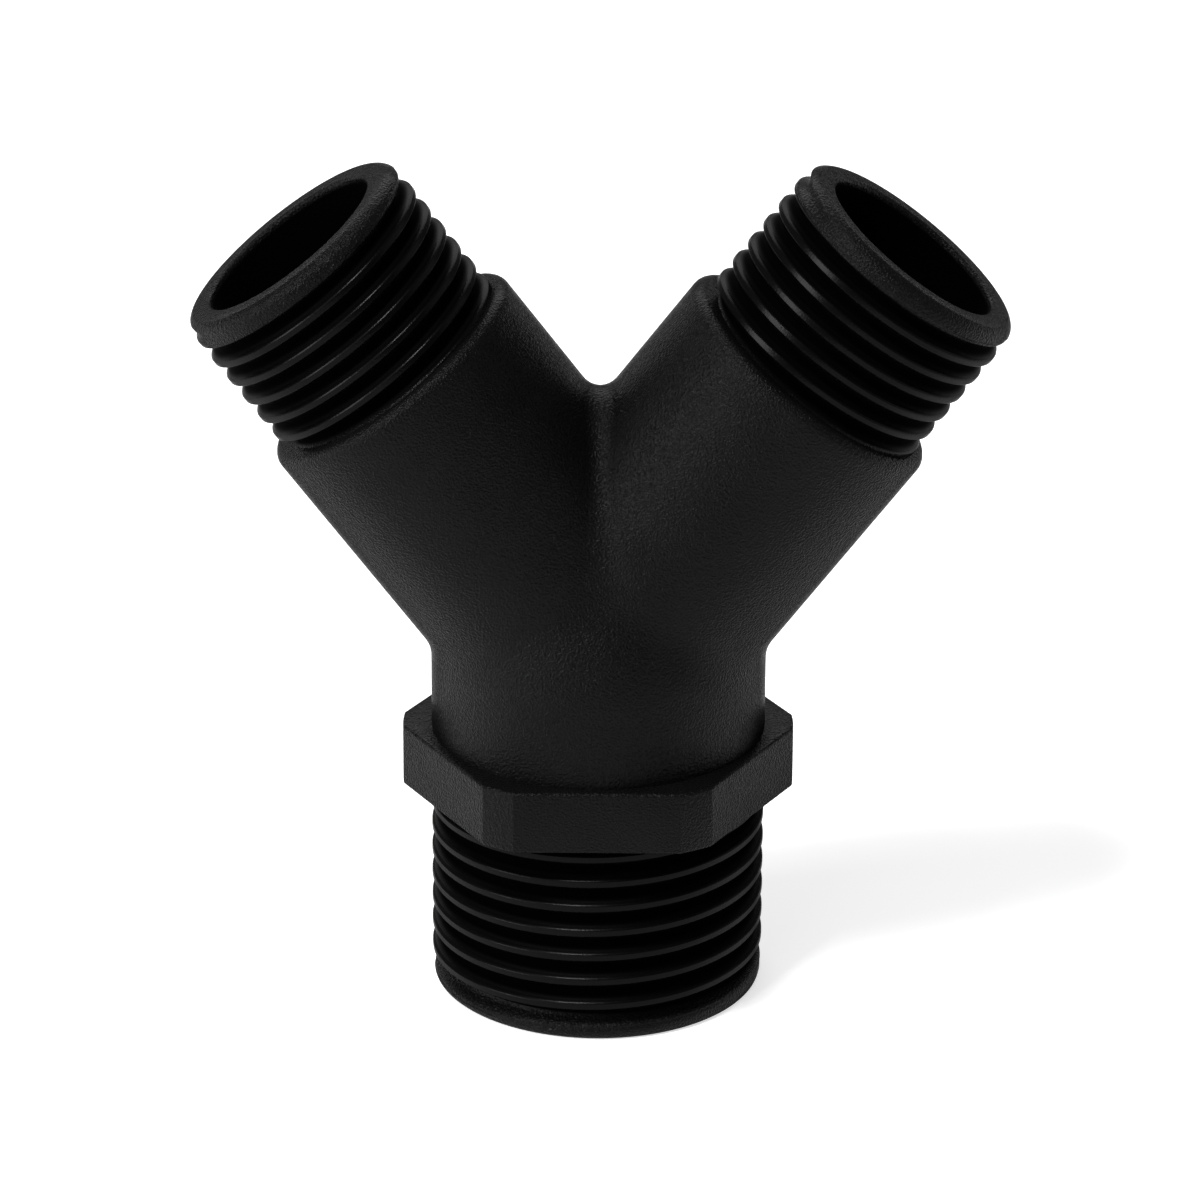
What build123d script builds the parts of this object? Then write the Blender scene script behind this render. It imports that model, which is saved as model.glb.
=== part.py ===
from build123d import *
import math
import os

# Tubing Y connector, moulded in one piece. Lengths are in millimetres and angles in degrees.
# +Z runs up the axis of the trunk, the two arms spread in the X-Z plane, and the origin is the
# centre of the trunk's open end, on which the connector stands. The threads are plain cylinders
# at their outside diameters here.

# Trunk: the single leg, with its threaded length at the foot
trunk_diameter = 26.7
trunk_bore_diameter = 19.4
trunk_thread_diameter = 26.9
trunk_thread_length = 16.9
trunk_thread_chamfer = 0.6

# Collar: the hexagon that a spanner holds, with its corners turned off
collar_across_flats = 28.4
collar_across_corners = 31.3
collar_height = 5.2
collar_edge_break = 0.3

# Branch: the point where the axes of the trunk and the arms meet
branch_height = 30.5
dome_drop = 2.0
arm_angle = 37.2
arm_root_blend = 2.0

# Arms: the two smaller legs, each with a shoulder and a threaded end
arm_diameter = 22.8
arm_bore_diameter = 15.4
arm_length = 40.3
arm_thread_diameter = 20.8
arm_thread_length = 12.7
arm_thread_chamfer = 0.9
shoulder_round = 0.9

# How far the bore cutters run on past the open ends
cutter_overrun = 1.0

ON_BASE = (Align.CENTER, Align.CENTER, Align.MIN)


def upright_cylinder(diameter, height, base=0.0):
    """A cylinder on the trunk's axis that stands at the height base."""
    return Pos(0, 0, base) * Cylinder(diameter / 2, height, align=ON_BASE)


def dome(diameter, base):
    """A ball on the trunk's axis whose upper half is the dome above the height base."""
    return Pos(0, 0, base) * Sphere(diameter / 2)


def arm_plane(side):
    """The plane across an arm at the branch point, facing out of the mouth, left for -1 and right for 1."""
    tilt = math.radians(arm_angle)
    axis = Vector(side * math.sin(tilt), 0, math.cos(tilt))
    return Plane(origin=(0, 0, branch_height), x_dir=(0, -1, 0), z_dir=axis)


def trunk_thread():
    """The threaded length at the trunk's foot, chamfered where a nut goes on."""
    blank = upright_cylinder(trunk_thread_diameter, trunk_thread_length)
    return chamfer(blank.edges().group_by(Axis.Z)[0], trunk_thread_chamfer)


def collar():
    """The hexagon above the trunk's thread, one flat square to -Y, with its corners turned to a cylinder."""
    hexagon = extrude(RegularPolygon(collar_across_flats / 2, 6, major_radius=False), collar_height)
    turned = upright_cylinder(collar_across_corners, collar_height)
    trimmed = hexagon & turned
    rims = trimmed.edges().group_by(Axis.Z)
    return Pos(0, 0, trunk_thread_length) * chamfer(rims[0] + rims[-1], collar_edge_break)


def arm(side):
    """One arm from the branch point to its mouth: barrel, rounded shoulder and chamfered threaded end."""
    barrel = Cylinder(arm_diameter / 2, arm_length - arm_thread_length, align=ON_BASE)
    barrel = fillet(barrel.edges().group_by(Axis.Z)[-1], shoulder_round)
    end = Cylinder(arm_thread_diameter / 2, arm_length, align=ON_BASE)
    end = chamfer(end.edges().group_by(Axis.Z)[-1], arm_thread_chamfer)
    return arm_plane(side) * (barrel + end)


def branch():
    """The trunk above the collar, its domed top and both arms, blended where they meet."""
    dome_base = branch_height - dome_drop
    trunk = upright_cylinder(trunk_diameter, dome_base - trunk_thread_length, trunk_thread_length)
    joined = trunk + dome(trunk_diameter, dome_base) + arm(-1) + arm(1)
    roots = [edge for edge in joined.edges() if edge.geom_type in (GeomType.BSPLINE, GeomType.ELLIPSE)]
    return fillet(roots, arm_root_blend)


def passages():
    """The three bores and the domed chamber where they meet."""
    dome_base = branch_height - dome_drop
    bores = upright_cylinder(trunk_bore_diameter, dome_base + cutter_overrun, -cutter_overrun)
    bores += dome(trunk_bore_diameter, dome_base)
    for side in (-1, 1):
        bores += arm_plane(side) * Cylinder(arm_bore_diameter / 2, arm_length + cutter_overrun, align=ON_BASE)
    return bores


def connector_body():
    """The whole connector as one solid."""
    return branch() + collar() + trunk_thread() - passages()


os.makedirs("parts", exist_ok=True)
export_step(connector_body(), "parts/connector_body.step")
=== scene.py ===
import math

import bpy
import numpy as np
from mathutils import Matrix, Vector


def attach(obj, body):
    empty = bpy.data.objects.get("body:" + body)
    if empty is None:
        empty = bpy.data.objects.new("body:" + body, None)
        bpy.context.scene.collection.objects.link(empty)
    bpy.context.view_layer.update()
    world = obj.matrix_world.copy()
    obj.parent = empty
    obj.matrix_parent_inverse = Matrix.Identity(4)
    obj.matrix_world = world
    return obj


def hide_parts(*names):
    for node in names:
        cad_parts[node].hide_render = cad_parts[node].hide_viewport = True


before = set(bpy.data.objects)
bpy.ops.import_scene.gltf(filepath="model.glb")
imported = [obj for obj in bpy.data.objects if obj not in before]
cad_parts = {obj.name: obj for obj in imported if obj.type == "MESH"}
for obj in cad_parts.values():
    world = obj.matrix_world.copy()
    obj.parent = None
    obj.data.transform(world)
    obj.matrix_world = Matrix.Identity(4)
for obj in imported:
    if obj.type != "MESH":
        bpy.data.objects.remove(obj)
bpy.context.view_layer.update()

# The connector's shape is worked out in millimetres and scaled to metres as it becomes a mesh.
MILLIMETRE = 0.001

# Columns round each leg. A multiple of 24 keeps the collar's edges and the branch's seams on columns.
COLUMNS = 144

# The point where the axes of the three legs meet, and how far each leg reaches from it
TRUNK_REACH = 30.5
BRANCH = np.array([0.0, 0.0, TRUNK_REACH])
ARM_REACH = 40.3

# Tilts in degrees from straight up: the arms', the trunk's and that of the seams between arm and trunk
ARM_TILT = 37.2
TRUNK_TILT = 180.0
SEAM_TILT = (ARM_TILT + TRUNK_TILT) / 2

# Outer and inner radii of the legs, and how far below the branch point the trunk's domes are centred
ARM_RADIUS = 11.4
TRUNK_RADIUS = 13.35
ARM_BORE = 7.7
TRUNK_BORE = 9.7
DOME_DROP = 2.0

# Rounds between the arms: the crotch's, and the valleys', which is full at this distance from the middle
CROTCH_BLEND = 2.4
VALLEY_BLEND = 1.1
VALLEY_REACH = 8.0

# Rounds between the arms and the trunk outside, and where the waterways meet inside
ROOT_BLEND = 0.7
INNER_BLEND = 0.4

# Distances along an arm of its shoulder, and along the trunk of its collar's two faces
SHOULDER_AT = 27.6
COLLAR_TOP = 8.4
COLLAR_BOTTOM = 13.6

# The collar's radii to its flats and to its turned corners
COLLAR_FLAT = 14.2
COLLAR_CORNER = 15.65

# Radii of edges
SHOULDER_ROUND = 0.9
COLLAR_ROUND = 0.28
BORE_EDGE_ROUND = 0.3

# How far each lip's outer edge comes in, over what length, how far it turns, and its blend with the thread
ARM_LIP = (0.85, 1.15)
FOOT_LIP = (0.45, 0.6)
LIP_TURN = math.radians(72.0)
LIP_BLEND = 0.12

# Each thread's crest radius, pitch and first groove's distance from the leg's end, on the front line
ARM_THREAD = (10.4, 1.93, 0.4)
TRUNK_THREAD = (13.45, 2.15, 1.985)

# Thread form: the widths of crest and root and the depth as shares of the pitch, the rounding of the
# ramp's two corners as shares of its height, and the crest's swell
CREST_SHARE = 0.27
ROOT_SHARE = 0.13
DEPTH_SHARE = 0.60
CREST_EDGE = 0.17
ROOT_EDGE = 0.5
CREST_SWELL = 0.10

# The lead at a leg's end: where its taper starts, its length and its drop, and the turns from the end at
# which a groove starts to rise to nothing and over which it does so
LEAD_START = 1.0
LEAD_LENGTH = 1.6
LEAD_DROP = 0.2
FADE_START = 0.25
FADE_TURNS = 0.45

# Rows of points across half a pitch, from the groove's middle to the crest's, close together at the corners
HALF_THREAD_ROWS = np.array([0.06, 0.10, 0.18, 0.26, 0.31, 0.34, 0.37, 0.40, 0.45])
THREAD_ROWS = np.concatenate([[0.0], HALF_THREAD_ROWS, 1.0 - HALF_THREAD_ROWS[::-1]])

# Rows along each body and each waterway, and how many times sooner than the rows end the columns settle
ARM_ROWS = 36
TRUNK_ROWS = 20
WATERWAY_ROWS = 16
SETTLING_RATE = 1.3

# The share of a row's step within which a thread's point gives way to the end ring's
ROW_SLACK = 0.3

# How far out from the branch point the waterways' own rows run, before the straight bore
ARM_CHAMBER = 15.0
TRUNK_CHAMBER = 7.0

# Steps over the rounded edges
LIP_STEPS = 10
SHOULDER_STEPS = 6
EDGE_STEPS = 4

# The search along a ray for the fork's surface: where it starts, in radii of the arm, and how many times
# as far out it ends, for the seams and for the rows. Then its samples, and the halvings that follow them.
SEAM_SEARCH = (0.5, 7.0)
ROW_SEARCH = (0.6, 3.5)
RAY_SAMPLES = 24
HALVINGS = 30

# Edges that turn by more than this stay sharp.
SHARP_TURN = math.radians(24.0)

# The square of paper: half its side and how far it lies under the foot, in metres, and how brightly it
# glows to a ray that looks at it
PAPER_HALF = 1.5
PAPER_DROP = 0.00002
PAPER_GLOW = 0.63

# The lamps' distance from the connector's middle and the middle's height, in metres
LAMP_DISTANCE = 0.8
MIDDLE_HEIGHT = 0.035


def direction(tilt):
    """The unit vector that leans from +Z towards +X by tilt degrees."""
    angle = math.radians(tilt)
    return np.array([math.sin(angle), 0.0, math.cos(angle)])


FRONT = np.array([0.0, -1.0, 0.0])


class Leg:
    """A leg's own frame: its axis out from the branch point, its front and the direction crosswise."""

    def __init__(self, tilt, reach):
        self.axis = direction(tilt)
        self.side = np.cross(self.axis, FRONT)
        self.reach = reach

    def place(self, along, angle, radius):
        """Point = branch + along * axis + radius * (cos(angle) * front + sin(angle) * side)."""
        along, angle, radius = np.broadcast_arrays(along, angle, radius)
        spoke = np.cos(angle)[..., None] * FRONT + np.sin(angle)[..., None] * self.side
        return BRANCH + along[..., None] * self.axis + radius[..., None] * spoke

    def measure(self, points):
        """The inverse of place: how far along, at what angle and how far out each point lies."""
        offset = points - BRANCH
        along = offset @ self.axis
        front = offset @ FRONT
        side = offset @ self.side
        return along, np.arctan2(side, front) % (2 * math.pi), np.hypot(front, side)


LEFT = Leg(-ARM_TILT, ARM_REACH)
RIGHT = Leg(ARM_TILT, ARM_REACH)
TRUNK = Leg(TRUNK_TILT, TRUNK_REACH)


def smoothstep(share):
    """3 t^2 - 2 t^3, with t held between 0 and 1."""
    held = np.clip(share, 0.0, 1.0)
    return held * held * (3.0 - 2.0 * held)


def soft_least(first, second, width):
    """The lesser of two values, with the corner between them rounded over the given width.

    With e = max(width - |first - second|, 0), it is the lesser one less e^2 / (4 * width).
    """
    share = np.maximum(width - np.abs(first - second), 0.0) / width
    return np.minimum(first, second) - share * share * width / 4


def rod_distance(points, leg, radius, start):
    """Distance from a round-ended rod whose axis starts at a distance along a leg, negative inside.

    It is the distance to the nearest point of the axis, less the radius.
    """
    offset = points - BRANCH - start * leg.axis
    along = np.maximum(offset @ leg.axis, 0.0)
    return np.linalg.norm(offset - along[..., None] * leg.axis, axis=-1) - radius


def blended(first, second, blend):
    """Distance from the union of two forms, with the corner between them filled by a round.

    With e = max(blend - d, 0) for each form's distance d, it is max(blend, least d) less the root of the
    sum of the squares of e.
    """
    first_excess = np.maximum(blend - first, 0.0)
    second_excess = np.maximum(blend - second, 0.0)
    return np.maximum(blend, np.minimum(first, second)) - np.hypot(first_excess, second_excess)


def fork_distance(points, arm_radius, trunk_radius, crotch_blend, valley_blend, root_blend):
    """Distance from the fork: both arms' rods blended with each other, then with the trunk's rod.

    The blend of the arms narrows from the crotch's to the valley's as the point moves to the front or back.
    """
    aside = smoothstep(np.abs(points[..., 1]) / VALLEY_REACH)
    arm_blend = crotch_blend + (valley_blend - crotch_blend) * aside
    left = rod_distance(points, LEFT, arm_radius, 0.0)
    right = rod_distance(points, RIGHT, arm_radius, 0.0)
    trunk = rod_distance(points, TRUNK, trunk_radius, DOME_DROP)
    return blended(blended(left, right, arm_blend), trunk, root_blend)


def first_crossing(point_at, distance, nearest, farthest):
    """The least radius, between two given ones, at which distance(point_at(radius)) turns positive.

    Even samples bracket the crossing on every ray at once, and halving the bracket finds it.
    """
    shares = np.linspace(0.0, 1.0, RAY_SAMPLES)
    samples = np.stack([distance(point_at(nearest + (farthest - nearest) * share)) for share in shares])
    hit = np.argmax(samples > 0.0, axis=0)
    step = (farthest - nearest) / (RAY_SAMPLES - 1)
    low = nearest + (hit - 1) * step
    high = nearest + hit * step
    for _ in range(HALVINGS):
        middle = (low + high) / 2
        outside = distance(point_at(middle)) > 0.0
        high = np.where(outside, middle, high)
        low = np.where(outside, low, middle)
    return (low + high) / 2


class Skin:
    """A closed skin under construction: rings of points, and the triangles between them."""

    def __init__(self):
        self.points = []
        self.triangles = []
        self.count = 0

    def add(self, points):
        """Adds points of any grid shape and returns their numbers in that shape."""
        flat = points.reshape(-1, 3)
        numbers = np.arange(self.count, self.count + len(flat)).reshape(points.shape[:-1])
        self.points.append(flat)
        self.count += len(flat)
        return numbers

    def quads(self, a, b, c, d):
        """Two triangles for each quad a, b, c, d, dropping those that two equal corners close up."""
        first_halves = np.stack([a, b, c], -1).reshape(-1, 3)
        second_halves = np.stack([a, c, d], -1).reshape(-1, 3)
        halves = np.concatenate([first_halves, second_halves])
        is_open = np.all(halves != np.roll(halves, -1, axis=1), axis=1)
        self.triangles.append(halves[is_open])

    def join(self, rows):
        """Bands between each row of the grid of numbers and the next, closed round the leg."""
        turned = np.roll(rows, -1, axis=1)
        self.quads(rows[:-1], turned[:-1], turned[1:], rows[1:])


def column_angles():
    """Even angles round a leg from its front."""
    return np.arange(COLUMNS) * 2 * math.pi / COLUMNS


def collar_columns():
    """Column angles of the trunk, with the nearest column moved on to each edge of the collar's flats."""
    angles = column_angles()
    half_flat = math.acos(COLLAR_FLAT / COLLAR_CORNER)
    flats = np.arange(6) * math.pi / 3
    next_flats = np.arange(1, 7) * math.pi / 3
    edges = np.concatenate([flats + half_flat, next_flats - half_flat])
    nearest = np.rint(edges / (2 * math.pi / COLUMNS)).astype(int) % COLUMNS
    angles[nearest] = edges
    return angles


def seam_points(tilt, size):
    """Points of the seam where two legs meet, from the front to the back.

    The seam lies in the half-plane through the front-to-back line at the branch point. Its point at the
    angle a is branch + R(a) * (cos(a) * front + sin(a) * outward), with R where the fork's distance is
    zero.
    """
    outward = direction(tilt)
    angle = np.linspace(0.0, math.pi, COLUMNS // 2 + 1)
    ray = np.cos(angle)[:, None] * FRONT + np.sin(angle)[:, None] * outward

    def point_at(radius):
        return BRANCH + radius[:, None] * ray

    def distance(points):
        return fork_distance(points, *size)

    nearest = np.full(len(angle), SEAM_SEARCH[0] * size[0])
    radius = first_crossing(point_at, distance, nearest, nearest * SEAM_SEARCH[1])
    return point_at(radius)


def fork_rings(skin, size):
    """Adds the three seams to the skin and returns each leg's closed ring of seam points, by number."""
    crotch, left, right = (seam_points(tilt, size) for tilt in (0.0, -SEAM_TILT, SEAM_TILT))
    ends = skin.add(crotch[[0, -1]])
    numbers = [skin.add(seam[1:-1]) for seam in (crotch, left, right)]
    points = [seam[1:-1] for seam in (crotch, left, right)]

    def ring(first, second):
        order = np.concatenate([ends[:1], numbers[first], ends[1:], numbers[second][::-1]])
        places = np.concatenate([crotch[:1], points[first], crotch[-1:], points[second][::-1]])
        return order, places

    return {LEFT: ring(0, 1), RIGHT: ring(2, 0), TRUNK: ring(1, 2)}


def fork_rows(leg, ring_points, end_at, columns, rows, size):
    """Rows of points from a leg's seam ring out to the distance end_at along the leg.

    Along each column the distance along the leg and the angle run from the seam's own to end_at and the
    column's angle, and the radius is where the ray out from the axis leaves the blended fork.
    """
    seam_along, seam_angle, _ = leg.measure(ring_points)
    seam_angle[0] = 0.0
    share = np.linspace(0.0, 1.0, rows + 1)[1:, None]
    along = seam_along + (end_at - seam_along) * share
    turn = (columns - seam_angle + math.pi) % (2 * math.pi) - math.pi
    angle = seam_angle + turn * smoothstep(share * SETTLING_RATE)

    def point_at(radius):
        return leg.place(along, angle, radius)

    def distance(points):
        return fork_distance(points, *size)

    nearest = np.full(along.shape, ROW_SEARCH[0] * size[0])
    radius = first_crossing(point_at, distance, nearest, nearest * ROW_SEARCH[1])
    return leg.place(along, angle, radius)


def thread_radius(leg, along, angle, crest_radius, pitch, first_groove):
    """Radius of a right-hand thread at points along and round a leg.

    With u the distance from the nearest crest's middle line, as a share of half a pitch, the radius falls
    from the crest by the depth times a straight ramp from the crest's edge to the root's, with both of
    the ramp's corners rounded. The crest itself swells as a parabola. Near the leg's end it tapers by the
    lead's drop, and the groove rises to nothing over part of a turn.
    """
    turns = (along - (leg.reach - first_groove)) / pitch - angle / (2 * math.pi)
    offset = turns - np.rint(turns)
    ramp = (1.0 - 2.0 * np.abs(offset) - CREST_SHARE) / (1.0 - ROOT_SHARE - CREST_SHARE)
    cut = -soft_least(-soft_least(ramp, np.ones_like(ramp), ROOT_EDGE), np.zeros_like(ramp), CREST_EDGE)
    centre_from_end = (leg.reach - along) / pitch + offset
    fade = smoothstep((centre_from_end - FADE_START) / FADE_TURNS)
    lead = LEAD_DROP * smoothstep(1.0 - (leg.reach - along - LEAD_START) / LEAD_LENGTH)
    swell = CREST_SWELL * np.minimum(2.0 * np.abs(offset) / CREST_SHARE, 1.0) ** 2
    return crest_radius - lead - (pitch * DEPTH_SHARE * cut + swell) * fade


def thread_rows(skin, leg, start, end, columns, crest_radius, pitch, first_groove, start_ring):
    """Adds the threaded length between two distances along the leg and returns its last ring.

    The rows climb with the thread: row i meets column j at s_i + pitch * angle_j / 2 pi, held between the
    two ends, so that crests and roots keep to rows. Each held point is the end ring's own point, and the
    last column joins the first one a whole turn further on.
    """
    groove = leg.reach - first_groove
    first_turn = math.floor((start - groove) / pitch) - 1
    last_turn = math.ceil((end - groove) / pitch) + 1
    turns = np.arange(first_turn, last_turn + 1)
    row_at = (groove + pitch * (turns[:, None] + THREAD_ROWS)).reshape(-1)
    along = row_at[:, None] + pitch * columns / (2 * math.pi)
    slack = ROW_SLACK * pitch / len(THREAD_ROWS)
    before = along < start + slack
    beyond = along > end - slack
    inside = ~(before | beyond)
    angle = np.broadcast_to(columns, along.shape)
    radius = thread_radius(leg, along[inside], angle[inside], crest_radius, pitch, first_groove)
    end_radius = thread_radius(leg, end, columns, crest_radius, pitch, first_groove)
    end_ring = skin.add(leg.place(end, columns, end_radius))
    numbers = np.where(before, start_ring, end_ring)
    numbers[inside] = skin.add(leg.place(along[inside], angle[inside], radius))
    lower = numbers[:-1]
    upper = numbers[1:]
    skin.quads(lower[:, :-1], lower[:, 1:], upper[:, 1:], upper[:, :-1])
    whole = len(numbers) - len(THREAD_ROWS)
    last = numbers[:whole, -1]
    first = numbers[len(THREAD_ROWS):, 0]
    skin.quads(last[:-1], first[:-1], first[1:], last[1:])
    return end_ring


def lip_rows(leg, columns, crest_radius, pitch, first_groove, lip, bore_radius):
    """Rows over a leg's open end, from where its outer edge starts to round off to just inside the bore.

    The outer edge is an elliptical arc that stops short of the flat end's direction, so a soft edge stays
    between them. At the bend b, with B the last bend, it has come in by width * (1 - cos b) / (1 - cos B)
    and has length * (1 - sin b / sin B) left to go. It is held under the thread's own radius where the
    groove runs out over it. Then come the flat end and a small quarter circle into the bore.
    """
    width, length = lip
    bend = np.linspace(0.0, LIP_TURN, LIP_STEPS + 1)[1:, None]
    along = leg.reach - length * (1.0 - np.sin(bend) / math.sin(LIP_TURN))
    envelope = crest_radius - LEAD_DROP - width * (1.0 - np.cos(bend)) / (1.0 - math.cos(LIP_TURN))
    thread = thread_radius(leg, along, columns[None, :], crest_radius, pitch, first_groove)
    outer = leg.place(along, columns[None, :], soft_least(thread, envelope, LIP_BLEND))
    inner_bend = np.linspace(0.0, math.pi / 2, EDGE_STEPS + 1)[:, None]
    inner_along = leg.reach - BORE_EDGE_ROUND + BORE_EDGE_ROUND * np.cos(inner_bend)
    inner_radius = bore_radius + BORE_EDGE_ROUND - BORE_EDGE_ROUND * np.sin(inner_bend)
    inner = leg.place(inner_along, columns[None, :], inner_radius)
    return np.concatenate([outer, inner])


def shoulder_rows(leg, columns):
    """Rows over a quarter circle from the arm's barrel on to its shoulder face.

    At the bend b, with r the edge's radius, the row is r * (1 - sin b) short of the face and
    r * (1 - cos b) in from the barrel.
    """
    bend = np.linspace(0.0, math.pi / 2, SHOULDER_STEPS + 1)[1:, None]
    along = SHOULDER_AT - SHOULDER_ROUND + SHOULDER_ROUND * np.sin(bend)
    radius = ARM_RADIUS - SHOULDER_ROUND + SHOULDER_ROUND * np.cos(bend)
    return leg.place(along, columns[None, :], radius)


def collar_rows(columns):
    """Rows over the collar, from its top face at the trunk, round both rims, to its bottom face.

    At each column the outline's radius is flat / cos(angle from the nearest flat's middle), held under
    the turned corner's radius, and each rim is a quarter circle of the collar's edge radius.
    """
    from_flat = (columns + math.pi / 6) % (math.pi / 3) - math.pi / 6
    outline = np.minimum(COLLAR_FLAT / np.cos(from_flat), COLLAR_CORNER)
    bend = np.linspace(0.0, math.pi / 2, EDGE_STEPS + 1)[:, None]
    top_along = COLLAR_TOP + COLLAR_ROUND - COLLAR_ROUND * np.cos(bend)
    top_radius = outline - COLLAR_ROUND + COLLAR_ROUND * np.sin(bend)
    bottom_along = COLLAR_BOTTOM - COLLAR_ROUND + COLLAR_ROUND * np.sin(bend)
    bottom_radius = outline - COLLAR_ROUND + COLLAR_ROUND * np.cos(bend)
    top = TRUNK.place(top_along, columns[None, :], top_radius)
    bottom = TRUNK.place(bottom_along, columns[None, :], bottom_radius)
    return np.concatenate([top, bottom])


def connector_skin():
    """The whole connector as one closed skin: the blended fork, its three ends and the passages."""
    skin = Skin()
    even = column_angles()
    snapped = collar_columns()
    outer_size = (ARM_RADIUS, TRUNK_RADIUS, CROTCH_BLEND, VALLEY_BLEND, ROOT_BLEND)
    inner_size = (ARM_BORE, TRUNK_BORE, INNER_BLEND, INNER_BLEND, INNER_BLEND)
    outer_seams = fork_rings(skin, outer_size)
    inner_seams = fork_rings(skin, inner_size)
    for leg in (LEFT, RIGHT, TRUNK):
        is_trunk = leg is TRUNK
        columns = snapped if is_trunk else even
        thread = TRUNK_THREAD if is_trunk else ARM_THREAD
        lip_size = FOOT_LIP if is_trunk else ARM_LIP
        bore = TRUNK_BORE if is_trunk else ARM_BORE
        ring, places = outer_seams[leg]
        end_at = COLLAR_TOP if is_trunk else SHOULDER_AT - SHOULDER_ROUND
        rows = TRUNK_ROWS if is_trunk else ARM_ROWS
        body = fork_rows(leg, places, end_at, columns, rows, outer_size)
        shaped = collar_rows(columns) if is_trunk else shoulder_rows(leg, columns)
        outer = np.concatenate([ring[None, :], skin.add(body), skin.add(shaped)])
        skin.join(outer)
        start = COLLAR_BOTTOM if is_trunk else SHOULDER_AT
        start_radius = thread_radius(leg, start, columns, *thread)
        start_ring = skin.add(leg.place(start, columns, start_radius))
        skin.join(np.stack([outer[-1], start_ring]))
        end = leg.reach - lip_size[1]
        end_ring = thread_rows(skin, leg, start, end, columns, *thread, start_ring)
        lip = skin.add(lip_rows(leg, columns, *thread, lip_size, bore))
        inner_ring, inner_places = inner_seams[leg]
        chamber_end = TRUNK_CHAMBER if is_trunk else ARM_CHAMBER
        waterway = fork_rows(leg, inner_places, chamber_end, columns, WATERWAY_ROWS, inner_size)
        waterway = skin.add(waterway)[::-1]
        skin.join(np.concatenate([end_ring[None, :], lip, waterway, inner_ring[None, :]]))
    return np.concatenate(skin.points) * MILLIMETRE, np.concatenate(skin.triangles)


def mesh_object(name, points, triangles, material):
    """A smooth-shaded mesh object at the origin from arrays of points and triangles."""
    mesh = bpy.data.meshes.new(name)
    mesh.vertices.add(len(points))
    mesh.vertices.foreach_set("co", points.astype(np.float32).ravel())
    mesh.loops.add(triangles.size)
    mesh.loops.foreach_set("vertex_index", triangles.astype(np.int32).ravel())
    mesh.polygons.add(len(triangles))
    mesh.polygons.foreach_set("loop_start", np.arange(0, triangles.size, 3, dtype=np.int32))
    mesh.update(calc_edges=True)
    mesh.polygons.foreach_set("use_smooth", np.ones(len(triangles), dtype=bool))
    mesh.validate()
    mesh.set_sharp_from_angle(angle=SHARP_TURN)
    mesh.materials.append(material)
    piece = bpy.data.objects.new(name, mesh)
    bpy.context.scene.collection.objects.link(piece)
    return piece


def new_material(name):
    """A node material with its Principled shader."""
    material = bpy.data.materials.new(name)
    material.use_nodes = True
    return material, material.node_tree, material.node_tree.nodes["Principled BSDF"]


def feed(tree, socket, value):
    """Links a value that is a socket, and sets any other."""
    if isinstance(value, bpy.types.NodeSocket):
        tree.links.new(value, socket)
    else:
        socket.default_value = value


def calculated(tree, operation, first, second):
    """The result of a maths node."""
    node = tree.nodes.new("ShaderNodeMath")
    node.operation = operation
    feed(tree, node.inputs[0], first)
    feed(tree, node.inputs[1], second)
    return node.outputs["Value"]


def eased(tree, value, start, end, low=0.0, high=1.0):
    """A smooth step from low to high as a value goes from start to end."""
    node = tree.nodes.new("ShaderNodeMapRange")
    node.interpolation_type = "SMOOTHSTEP"
    feed(tree, node.inputs["Value"], value)
    node.inputs["From Min"].default_value = start
    node.inputs["From Max"].default_value = end
    node.inputs["To Min"].default_value = low
    node.inputs["To Max"].default_value = high
    return node.outputs["Result"]


def mixed(tree, share, first, second, kind="Float"):
    """A mix of two values, or of two colours where kind is "Color": the first at 0, the second at 1."""
    node = tree.nodes.new("ShaderNodeMix")
    node.data_type = "RGBA" if kind == "Color" else "FLOAT"
    inputs = {socket.identifier: socket for socket in node.inputs}
    outputs = {socket.identifier: socket for socket in node.outputs}
    tree.links.new(share, inputs["Factor_Float"])
    feed(tree, inputs[f"A_{kind}"], first)
    feed(tree, inputs[f"B_{kind}"], second)
    return outputs[f"Result_{kind}"]


def noise(tree, place, scale, detail):
    """Noise with its features about 1 / scale metres across."""
    node = tree.nodes.new("ShaderNodeTexNoise")
    node.inputs["Scale"].default_value = scale
    node.inputs["Detail"].default_value = detail
    tree.links.new(place, node.inputs["Vector"])
    return node.outputs["Fac"]


def leg_measures(tree, place, leg):
    """How far along a leg a point lies, and how far out from its axis.

    They are the dot product of its offset from the branch point with the axis, and the length of their
    cross product.
    """
    offset = tree.nodes.new("ShaderNodeVectorMath")
    offset.operation = "SUBTRACT"
    tree.links.new(place, offset.inputs[0])
    offset.inputs[1].default_value = tuple(BRANCH * MILLIMETRE)
    dot = tree.nodes.new("ShaderNodeVectorMath")
    dot.operation = "DOT_PRODUCT"
    cross = tree.nodes.new("ShaderNodeVectorMath")
    cross.operation = "CROSS_PRODUCT"
    for node in (dot, cross):
        tree.links.new(offset.outputs["Vector"], node.inputs[0])
        node.inputs[1].default_value = tuple(leg.axis)
    length = tree.nodes.new("ShaderNodeVectorMath")
    length.operation = "LENGTH"
    tree.links.new(cross.outputs["Vector"], length.inputs[0])
    return dot.outputs["Value"], length.outputs["Value"]


def risen(tree, value, start, end):
    """A share that rises from 0 to 1 as a distance goes from start to end, in millimetres."""
    return eased(tree, value, start * MILLIMETRE, end * MILLIMETRE)


def fallen(tree, value, start, end):
    """A share that falls from 1 to 0 as a distance goes from start to end, in millimetres."""
    return eased(tree, value, start * MILLIMETRE, end * MILLIMETRE, 1.0, 0.0)


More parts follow.
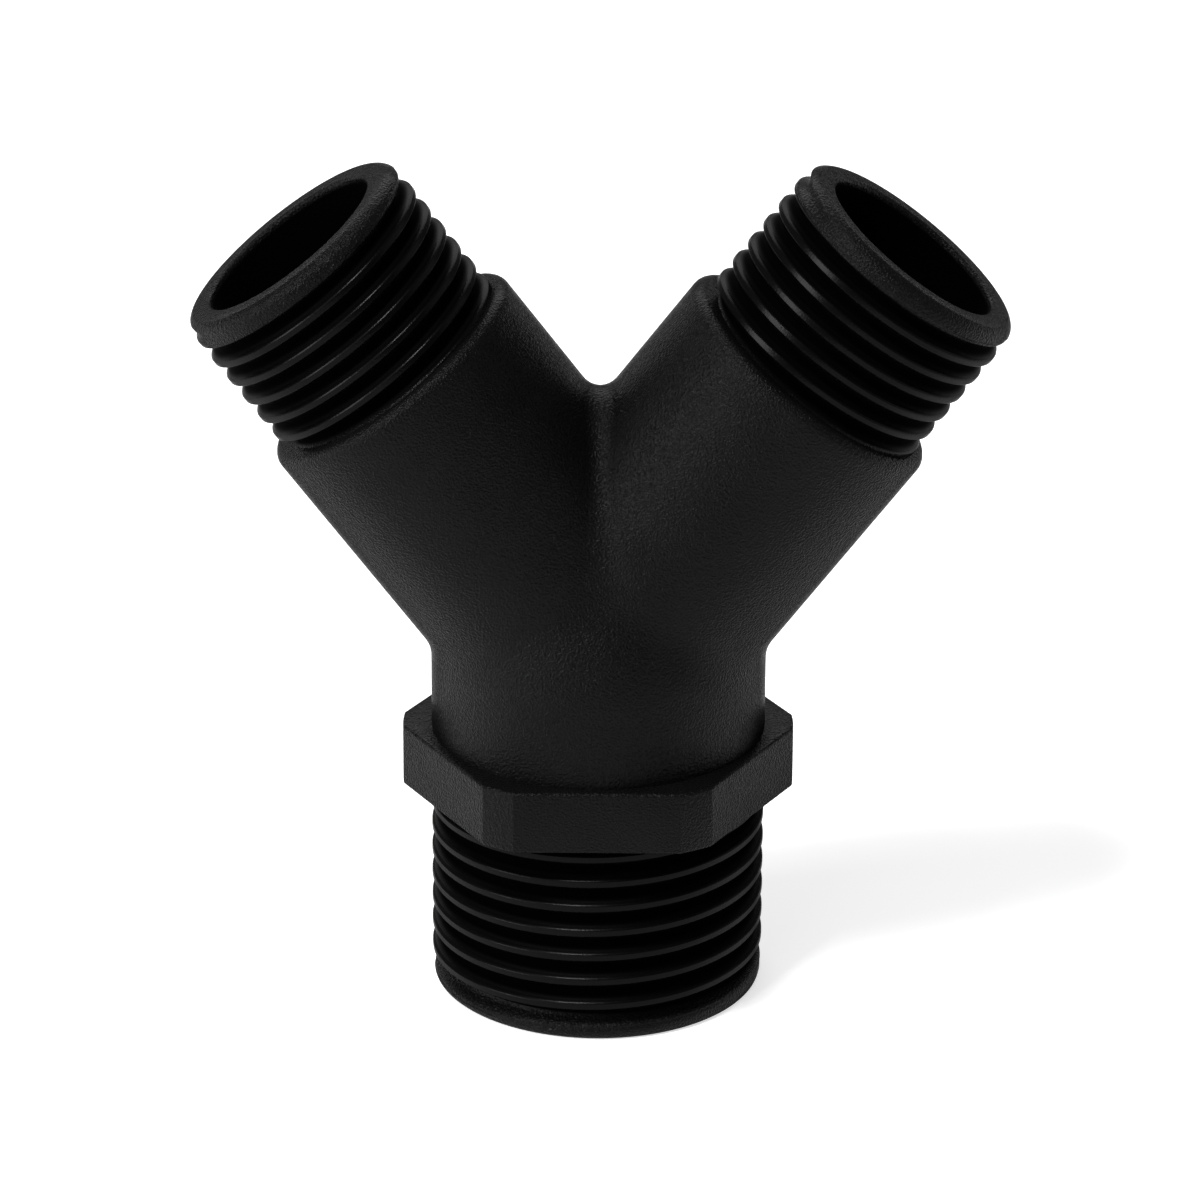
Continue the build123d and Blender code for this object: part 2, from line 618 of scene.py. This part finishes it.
def thread_and_hollow_shade(tree, place, leg, thread_start, crest_radius, bore_radius):
    """Two shares from 0 to 1 for a leg: its smooth-moulded thread, and its grooves and waterway, which get
    painted shade.

    The thread runs from its start to 2 mm short of the leg's end, and out to just past its crests. Its
    groove deepens from 0.25 to 0.9 mm under the crests. The waterway is what lies within the bore, from
    the branch point to just inside the mouth.
    """
    along, out = leg_measures(tree, place, leg)
    begun = risen(tree, along, thread_start, thread_start + 0.3)
    not_ended = fallen(tree, along, leg.reach - 2.0, leg.reach - 1.7)
    near = fallen(tree, out, crest_radius + 0.3, crest_radius + 0.5)
    thread = calculated(tree, "MULTIPLY", calculated(tree, "MULTIPLY", begun, not_ended), near)
    deep = fallen(tree, out, crest_radius - 0.9, crest_radius - 0.25)
    groove = calculated(tree, "MULTIPLY", thread, deep)
    within = fallen(tree, out, bore_radius + 0.02, bore_radius + 0.2)
    past_branch = risen(tree, along, 0.0, 1.0)
    below_lip = fallen(tree, along, leg.reach - 0.6, leg.reach - 0.3)
    bore = calculated(tree, "MULTIPLY", calculated(tree, "MULTIPLY", within, past_branch), below_lip)
    return thread, calculated(tree, "MAXIMUM", groove, bore)


def black_moulded_plastic():
    """Black plastic with an etched mould's fine grain, smooth on its threads, and with painted shade in its
    grooves and waterways.
    """
    material, tree, shader = new_material("black_moulded_plastic")
    place = tree.nodes.new("ShaderNodeTexCoord").outputs["Object"]
    thread, hollow_shade = thread_and_hollow_shade(tree, place, TRUNK, COLLAR_BOTTOM, TRUNK_THREAD[0], TRUNK_BORE)
    for leg in (LEFT, RIGHT):
        shares = thread_and_hollow_shade(tree, place, leg, SHOULDER_AT, ARM_THREAD[0], ARM_BORE)
        thread = calculated(tree, "MAXIMUM", thread, shares[0])
        hollow_shade = calculated(tree, "MAXIMUM", hollow_shade, shares[1])

    # The grain takes the gloss away where the surface turns from the eye.
    facing = tree.nodes.new("ShaderNodeLayerWeight").outputs["Facing"]
    gloss = eased(tree, facing, 0.30, 0.78, 0.06, 0.003)
    # In the grooves and waterways the gloss drops to almost none, as part of their painted shade.
    tree.links.new(mixed(tree, hollow_shade, gloss, 0.01), shader.inputs["Specular IOR Level"])

    # A faint cloudiness a few millimetres across
    shades = tree.nodes.new("ShaderNodeValToRGB")
    shades.color_ramp.elements[0].position = 0.35
    shades.color_ramp.elements[0].color = (0.0029, 0.0029, 0.0030, 1.0)
    shades.color_ramp.elements[1].position = 0.68
    shades.color_ramp.elements[1].color = (0.0038, 0.0038, 0.0039, 1.0)
    tree.links.new(noise(tree, place, 260.0, 4.0), shades.inputs["Fac"])
    smooth_black = (0.0012, 0.0012, 0.0013, 1.0)
    # The grooves and waterways are painted near-black: painted shade, not the plastic's own colour.
    painted_hollow_shade = (0.0003, 0.0003, 0.0003, 1.0)
    colour = mixed(tree, thread, shades.outputs["Color"], smooth_black, "Color")
    colour = mixed(tree, hollow_shade, colour, painted_hollow_shade, "Color")
    tree.links.new(colour, shader.inputs["Base Color"])

    # The grain, a fifth of a millimetre across, is shinier on its heights than in its pits.
    grain = noise(tree, place, 5500.0, 1.0)
    roughness = eased(tree, grain, 0.38, 0.62, 0.36, 0.24)
    roughness = mixed(tree, thread, roughness, 0.25)
    # The grooves and waterways turn rough, as part of their painted shade.
    roughness = mixed(tree, hollow_shade, roughness, 0.9)
    tree.links.new(roughness, shader.inputs["Roughness"])
    pits = tree.nodes.new("ShaderNodeBump")
    pits.inputs["Distance"].default_value = 0.00013
    tree.links.new(mixed(tree, thread, 1.0, 0.1), pits.inputs["Strength"])
    tree.links.new(grain, pits.inputs["Height"])
    tree.links.new(pits.outputs["Normal"], shader.inputs["Normal"])
    return material


def pale_floor():
    """White paper that looks evenly white to the camera and in reflections, and keeps the shadow."""
    material, tree, shader = new_material("white_paper")
    shader.inputs["Base Color"].default_value = (0.80, 0.80, 0.80, 1.0)
    shader.inputs["Roughness"].default_value = 0.9
    shader.inputs["Specular IOR Level"].default_value = 0.0
    path = tree.nodes.new("ShaderNodeLightPath").outputs
    seen = calculated(tree, "MAXIMUM", path["Is Camera Ray"], path["Is Glossy Ray"])
    seen = calculated(tree, "MAXIMUM", seen, path["Is Transmission Ray"])
    glow = tree.nodes.new("ShaderNodeEmission")
    glow.inputs["Color"].default_value = (1.0, 1.0, 1.0, 1.0)
    tree.links.new(calculated(tree, "MULTIPLY", seen, PAPER_GLOW), glow.inputs["Strength"])
    both = tree.nodes.new("ShaderNodeAddShader")
    tree.links.new(shader.outputs["BSDF"], both.inputs[0])
    tree.links.new(glow.outputs["Emission"], both.inputs[1])
    tree.links.new(both.outputs["Shader"], tree.nodes["Material Output"].inputs["Surface"])
    return material


def floor(material):
    """A flat square of paper that the connector stands on."""
    signs = np.array([[-1.0, -1.0], [1.0, -1.0], [1.0, 1.0], [-1.0, 1.0]])
    corners = np.column_stack([PAPER_HALF * signs, np.full(4, -PAPER_DROP)])
    return mesh_object("floor", corners, np.array([[0, 1, 2], [0, 2, 3]]), material)


def softbox(name, bearing, height, side, power):
    """A square lamp that faces the connector, with its side in metres and its power in watts.

    Its bearing from the front towards the left and its height are angles in degrees, seen from the
    connector's middle.
    """
    turn = math.radians(bearing)
    rise = math.radians(height)
    away = Vector((-math.sin(turn) * math.cos(rise), -math.cos(turn) * math.cos(rise), math.sin(rise)))
    lamp = bpy.data.lights.new(name, "AREA")
    lamp.shape = "SQUARE"
    lamp.size = side
    lamp.energy = power
    stand = bpy.data.objects.new(name, lamp)
    bpy.context.scene.collection.objects.link(stand)
    stand.location = Vector((0.0, 0.0, MIDDLE_HEIGHT)) + away * LAMP_DISTANCE
    stand.rotation_euler = away.to_track_quat("Z", "Y").to_euler()


def studio():
    """Soft light from the front left and above, lamps behind and on the right, and a dim surround."""
    softbox("key", 38.0, 42.0, 0.6, 1.2)
    softbox("left", 66.0, 20.0, 0.35, 4.8)
    softbox("high", 35.0, 66.0, 0.15, 4.6)
    softbox("back", 175.0, 26.0, 0.6, 2.0)
    softbox("right", 265.0, 16.0, 0.6, 0.5)
    world = bpy.data.worlds.new("studio")
    bpy.context.scene.world = world
    world.use_nodes = True
    surround = world.node_tree.nodes["Background"]
    surround.inputs["Color"].default_value = (1.0, 1.0, 1.0, 1.0)
    surround.inputs["Strength"].default_value = 0.18


def camera():
    """A long-lens camera in front of the connector and above it, turned very slightly about its view."""
    elevation = math.radians(23.384)
    bearing = math.radians(0.11)
    roll = math.radians(0.329)
    target = Vector((0.087, 0.0, 32.529)) * MILLIMETRE
    distance = 516.978 * MILLIMETRE
    away = Vector(
        (
            math.sin(bearing) * math.cos(elevation),
            -math.cos(bearing) * math.cos(elevation),
            math.sin(elevation),
        )
    )
    right = (-away).cross(Vector((0.0, 0.0, 1.0))).normalized()
    up = right.cross(-away)
    rolled_right = right * math.cos(roll) + up * math.sin(roll)
    rolled_up = up * math.cos(roll) - right * math.sin(roll)
    lens = bpy.data.cameras.new("camera")
    lens.lens = 195.0
    lens.sensor_width = 36.0
    lens.clip_start = 0.01
    lens.clip_end = 50.0
    body = bpy.data.objects.new("camera", lens)
    bpy.context.scene.collection.objects.link(body)
    turn = Matrix((rolled_right, rolled_up, away)).transposed().to_4x4()
    body.matrix_world = Matrix.Translation(target + away * distance) @ turn
    bpy.context.scene.camera = body


camera()
studio()
points, triangles = connector_skin()
connector = mesh_object("connector", points, triangles, black_moulded_plastic())
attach(connector, "root")
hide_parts("connector_body")
floor(pale_floor())
bpy.context.scene.view_settings.view_transform = "Standard"
